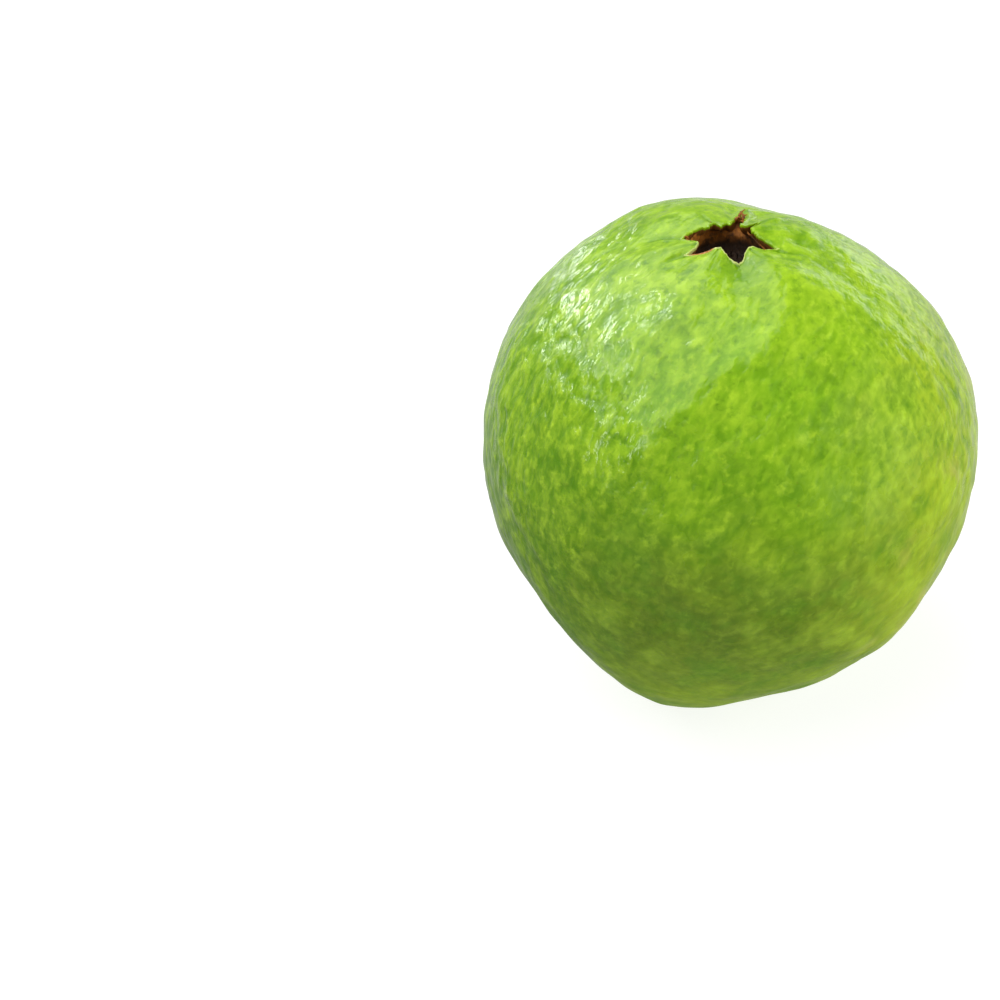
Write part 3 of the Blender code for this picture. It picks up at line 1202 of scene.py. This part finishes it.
@dataclass
class FlowerRemains:
    """What is left of the flower: the style's stub, a ring of dry stamens, and curled sepal scraps."""

    growth: Growth
    style_radius: float = 0.00065
    style_height: float = 0.0021
    stamens: int = 34
    stamen_radius: float = 0.00009
    scraps: tuple[tuple[float, float, float], ...] = (
        (66, 0.0020, 2.8),
        (72, 0.0027, 1.2),
        (76, 0.0020, -1.8),
        (79, 0.0029, -1.0),
        (83, 0.0019, -2.6),
        (164, 0.0017, 1.5),
        (172, 0.0013, -1.2),
    )
    scrap_radius: float = 0.00016
    scrap_inset: float = 0.0006
    scrap_depth: float = 0.0009
    piece: bpy.types.Object | None = field(default=None, init=False)

    def tube(self, points: list[Vector], radii: list[float], name: str) -> bpy.types.Object:
        """A closed tube along points, made as a curve and turned into a mesh.

        Args:
            points: the middle line.
            radii: the radius at each point.
            name: the object's name.

        Returns:
            The tube.
        """
        bpy.ops.object.select_all(action="DESELECT")
        curve = bpy.data.curves.new(name, "CURVE")
        curve.dimensions = "3D"
        curve.bevel_depth = 1.0
        curve.bevel_resolution = 1
        curve.use_fill_caps = True
        line = curve.splines.new("POLY")
        line.points.add(len(points) - 1)
        for spot, point, radius in zip(line.points, points, radii):
            spot.co = (*point, 1.0)
            spot.radius = radius
        thing = bpy.data.objects.new(name, curve)
        bpy.context.scene.collection.objects.link(thing)
        thing.select_set(True)
        bpy.context.view_layer.objects.active = thing
        bpy.ops.object.convert(target="MESH")
        return bpy.context.active_object

    @staticmethod
    def grown_line(
        foot: Vector, length: float, steps: int, heading: tuple[float, float], lean: tuple[float, float]
    ) -> list[Vector]:
        """A line that grows up from its foot and bends on its way.

        Args:
            foot: where it starts.
            length: its length.
            steps: how many steps it takes.
            heading: azimuth that it leans towards at its foot, and how far that turns by its tip.
            lean: its angle from upright at its foot, and what that gains by its tip.

        Returns:
            Its points.
        """
        points = [foot]
        for step in range(steps):
            share = step / steps
            turn = heading[0] + heading[1] * share
            away = lean[0] + lean[1] * share
            level = Vector((math.cos(turn), math.sin(turn), 0.0)) * math.sin(away)
            points.append(points[-1] + (level + Vector((0.0, 0.0, math.cos(away)))) * (length / steps))
        return points

    def style(self, foot: Vector) -> bpy.types.Object:
        """The stub of the style: a tapering stalk with a blunt, slightly bent tip."""
        steps = 10
        points, radii = [], []
        for step in range(steps + 1):
            share = step / steps
            lean = 0.0003 * share * share
            points.append(foot + Vector((lean, -0.6 * lean, share * self.style_height)))
            blunt = 0.25 * smooth_step(0.8, 1.0, np.float64(share))
            radii.append(self.style_radius * (1.35 - 0.75 * share + blunt))
        return self.tube(points, radii, "style")

    def stamen(self, number: int, foot: Vector) -> bpy.types.Object:
        """One dry stamen, which springs from the cup's wall and curls over.

        Args:
            number: its place in the ring.
            foot: middle of the cup's floor.

        Returns:
            The stamen.
        """
        turn = math.tau * (number + 0.6 * noise.noise((number * 1.7, 0.3, 0.0))) / self.stamens
        start = 0.0050 + 0.0006 * noise.noise((number * 2.3, 1.1, 0.0))
        length = 0.0026 + 0.0012 * noise.noise((number * 3.1, 2.2, 0.0))
        bend = 1.5 + 1.3 * noise.noise((number * 0.9, 4.4, 0.0))
        aside = 0.9 * noise.noise((number * 1.3, 6.6, 0.0))
        steps = 9
        spot = foot + Vector((start * math.cos(turn), start * math.sin(turn), 0.0006))
        points = self.grown_line(spot, length, steps, (turn + math.pi, aside), (0.25, bend))
        radii = [self.stamen_radius * (1.2 - 0.5 * step / steps) for step in range(steps + 1)]
        return self.tube(points, radii, f"stamen_{number}")

    def scrap(self, azimuth: float, length: float, bend: float, move: Vector) -> bpy.types.Object:
        """One curled scrap of a dry sepal, which clings to the mouth's lip.

        Args:
            azimuth: where on the lip, in degrees.
            length: its length.
            bend: how far it curls round the lip's line, in radians.
            move: from the fruit's own centre to the row's frame.

        Returns:
            The scrap.
        """
        grown = self.growth
        turn = math.radians(azimuth)
        outward = Vector((math.cos(turn), math.sin(turn), 0.0))
        lip = outward * grown.mouth_radius + Vector((0.0, 0.0, grown.mouth_height))
        spot = Vector(grown.grow(np.array([lip]))[0]) + move
        spot = spot - outward * self.scrap_inset - Vector((0.0, 0.0, self.scrap_depth))
        steps = 12
        points = self.grown_line(spot, length, steps, (turn, bend), (0.0, 1.5))
        swell = [math.sin(math.pi * (0.10 + 0.84 * step / steps)) ** 2 for step in range(steps + 1)]
        radii = [self.scrap_radius * (0.3 + 1.3 * share) for share in swell]
        return self.tube(points, radii, f"scrap_{azimuth:.0f}")

    def build(self, foot: Vector, move: Vector) -> bpy.types.Object:
        """Models the remains as one piece.

        Args:
            foot: middle of the cup's floor, in the row's frame.
            move: from the fruit's own centre to the row's frame.

        Returns:
            The piece.
        """
        parts = [self.style(foot)] + [self.stamen(number, foot) for number in range(self.stamens)]
        parts += [self.scrap(*scrap, move) for scrap in self.scraps]
        bpy.ops.object.select_all(action="DESELECT")
        for part in parts:
            part.select_set(True)
        bpy.context.view_layer.objects.active = parts[0]
        bpy.ops.object.join()
        self.piece = bpy.context.active_object
        self.piece.name = "flower_remains"
        bpy.ops.object.shade_smooth()
        return self.piece

    def dress(self, finish: bpy.types.Material) -> None:
        """Gives the remains their finish and ties them to the frame."""
        finish_piece(self.piece, finish, "dry_calyx")


@dataclass
class StalkStub:
    """The woody end of the stalk: ribbed bark, wider where it meets the fruit, and a splintered end."""

    columns: int = 72
    rows: int = 48
    ribs: int = 9
    rib_depth: float = 0.00009
    flare: float = 1.25
    profile: tuple[tuple[float, float], ...] = (
        (0.00, 0.0),
        (1.18, 0.01),
        (1.24, 0.12),
        (1.16, 0.24),
        (1.00, 0.42),
        (0.97, 0.75),
        (0.93, 0.92),
        (0.84, 0.985),
        (0.00, 1.0),
    )
    pits: Layer = Layer(0.0006, 0.00007, 1.0)
    splinters: tuple[Layer, ...] = (Layer(0.00035, 0.00025, 4.0), Layer(0.0008, 0.000125, 7.0))
    piece: bpy.types.Object | None = field(default=None, init=False)

    def build(self) -> bpy.types.Object:
        """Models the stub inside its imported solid's box.

        Returns:
            The piece.
        """
        low, high = (Vector(corner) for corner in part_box("stem_stub"))
        middle = (low + high) / 2.0
        radius = (high.x - low.x) / 2.0 / self.flare
        away, down = evenly(np.array(self.profile), self.rows + 1, to_end=True).T
        outline = np.stack([away * radius, high.z - down * (high.z - low.z)], axis=1)
        piece, row, azimuth = turned_ball("stalk_stub", self.columns, outline)
        mesh = piece.data
        points = read_points(mesh)
        away = np.hypot(points[:, 0], points[:, 1])
        ribs = np.cos(self.ribs * azimuth + 1.5 * np.sin(2.0 * azimuth)) * self.rib_depth
        uneven = (ribs + self.pits.at(points)) * smooth_step(0.0, 0.0009, away)
        wider = (away + uneven) / np.maximum(away, 1e-9)
        points[:, 0] *= wider
        points[:, 1] *= wider
        end = smooth_step(0.93, 0.99, down[row])
        splinters = sum(layer.at(points) for layer in self.splinters)
        points[:, 2] += np.maximum(splinters, 0.0) * end
        points += np.array((middle.x, middle.y, 0.0))
        write_points(mesh, points)
        store(mesh, "broken_end", end)
        self.piece = piece
        return piece

    def dress(self) -> None:
        """Gives the stub its finish and ties it to the frame."""
        finish_piece(self.piece, StalkBark().build(), "stalk_wood", "stem_stub")


# ---- Studio ----------------------------------------------------------------


class Side(Enum):
    """Where a light stands, as (right, up, towards the camera) from the fruit."""

    KEY = (-0.43, 0.81, 0.40)
    SPOT_BACK = (-0.45, 0.55, -0.70)
    SPOT_LEFT = (-0.74, 0.64, -0.19)
    SPOT_TOP = (-0.49, 0.86, 0.16)
    SPOT_FRONT = (-0.81, 0.50, 0.30)
    SPOT_LOW = (-0.70, 0.00, 0.71)
    FILL = (0.91, 0.06, 0.30)
    RIM = (0.56, 0.58, -0.60)


@dataclass
class Studio:
    """White paper floor, soft lights and the camera."""

    elevation: float = 35.0
    lens: float = 100.0
    sensor: float = 36.0
    distance: float = 0.48775
    aim_height: float = 0.0413
    offset: tuple[float, float] = (0.458, 0.096)
    floor_size: float = 6.0
    sky: float = 0.38
    paper_behind: float = 0.80
    paper_in_front: float = 1.55
    paper_gloss: float = 0.15

    def axes(self) -> Matrix:
        """Columns: the camera's right, up and backward directions when it looks straight at the fruit."""
        tilt = math.radians(self.elevation)
        back = Vector((0.0, -math.cos(tilt), math.sin(tilt)))
        right = Vector((1.0, 0.0, 0.0))
        return Matrix((right, back.cross(right), back)).transposed()

    def middle(self) -> Vector:
        """The point of the fruit's axis that the camera's framing is measured from."""
        low, high = (Vector(corner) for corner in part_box("stem_stub"))
        return Vector(((low.x + high.x) / 2.0, (low.y + high.y) / 2.0, self.aim_height))

    def camera(self) -> bpy.types.Object:
        """The camera, which looks down on the fruit and holds it to the right of the frame's middle."""
        data = bpy.data.cameras.new("camera")
        data.lens = self.lens
        data.sensor_width = self.sensor
        data.clip_start, data.clip_end = 0.01, 20.0
        camera = bpy.data.objects.new("camera", data)
        bpy.context.scene.collection.objects.link(camera)
        axes = self.axes()
        half = self.sensor / 2.0 / self.lens
        seen = Vector((self.offset[0] * half, self.offset[1] * half, -1.0)).normalized()
        turn = seen.rotation_difference(Vector((0.0, 0.0, -1.0))).to_matrix()
        camera.rotation_euler = (axes @ turn).to_euler()
        camera.location = self.middle() + axes.col[2] * self.distance
        bpy.context.scene.camera = camera
        return camera

    def light(
        self,
        name: str,
        side: Side,
        distance: float,
        size: tuple[float, float],
        power: float,
        roll: float = 0.0,
    ) -> bpy.types.Object:
        """Adds a soft rectangular light that faces the fruit.

        Args:
            name: the light's name.
            side: where it stands.
            distance: how far from the fruit.
            size: its width and height.
            power: its power in watts.
            roll: how far it is turned about the line to the fruit, in degrees.

        Returns:
            The light.
        """
        data = bpy.data.lights.new(name, "AREA")
        data.shape = "RECTANGLE"
        data.size, data.size_y = size
        data.energy = power
        lamp = bpy.data.objects.new(name, data)
        bpy.context.scene.collection.objects.link(lamp)
        towards = (self.axes() @ Vector(side.value)).normalized()
        lamp.location = self.middle() + towards * distance
        facing = towards.to_track_quat("Z", "Y").to_matrix().to_4x4()
        lamp.rotation_euler = (facing @ Euler((0.0, 0.0, math.radians(roll))).to_matrix().to_4x4()).to_euler()
        return lamp

    def floor(self) -> None:
        """A wide sheet of white paper at the height of the fruit's foot."""
        bpy.ops.object.select_all(action="DESELECT")
        bpy.ops.mesh.primitive_plane_add(size=self.floor_size, location=(0.0, 0.0, 0.0))
        paper = bpy.context.active_object
        paper.name = "paper_floor"
        paper.data.materials.append(StudioPaper().build())
        paper.visible_glossy = False
        paper.visible_diffuse = False

    def surroundings(self) -> None:
        """An even dim light from above, and the paper's light from below, mirrored mostly at the back."""
        graph = Graph(bpy.data.worlds.new("studio"), "Background")
        direction = graph.node("ShaderNodeTexCoord").outputs["Generated"]
        _, back, up = graph.axes(direction)
        mirrored = Value(graph, graph.node("ShaderNodeLightPath").outputs["Is Glossy Ray"])
        front = mirrored * (self.paper_gloss - self.paper_in_front) + self.paper_in_front
        paper = back.step(0.35, 0.80) * (self.paper_behind - front) + front
        strength = up.step(-0.30, -0.05) * (self.sky - paper) + paper
        bpy.context.scene.world = graph.finish(Color=(1.0, 1.0, 1.0), Strength=strength)

    def build(self) -> None:
        """Sets up the floor, the lights and the camera."""
        self.floor()
        self.surroundings()
        self.light("key_softbox", Side.KEY, 0.55, (1.10, 0.75), 6.0, roll=35.0)
        fill = self.light("fill_panel", Side.FILL, 0.90, (0.80, 0.90), 7.6)
        fill.visible_glossy = False
        glints = (
            self.light("spot_back", Side.SPOT_BACK, 0.55, (0.10, 0.08), 0.16),
            self.light("spot_left", Side.SPOT_LEFT, 0.55, (0.10, 0.08), 0.70),
            self.light("spot_top", Side.SPOT_TOP, 0.55, (0.08, 0.06), 0.36),
            self.light("spot_front", Side.SPOT_FRONT, 0.55, (0.06, 0.05), 0.26),
            self.light("spot_low", Side.SPOT_LOW, 0.55, (0.14, 0.12), 0.60),
            self.light("rim_panel", Side.RIM, 0.80, (0.50, 0.30), 0.80),
        )
        for glint in glints:
            glint.visible_diffuse = False
        self.camera()
        bpy.context.scene.view_settings.view_transform = "Standard"


def main() -> None:
    """Builds the guava's pieces and the studio round them."""
    logging.basicConfig(level=logging.INFO, format="%(message)s")
    growth = Growth()
    move = growth.stand()

    skin = FruitSkin(growth)
    skin.build(move)
    skin.dress()

    low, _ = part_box("dried_calyx")
    finish = DryTissue().build(low[2])
    lining = CalyxLining(growth)
    lining.build(move)
    lining.dress(finish)

    remains = FlowerRemains(growth)
    remains.build(Vector((move.x, move.y, low[2] + lining.thickness + 0.0002)), move)
    remains.dress(finish)

    stalk = StalkStub()
    stalk.build()
    stalk.dress()

    Studio().build()


if __name__ == "__main__":
    main()
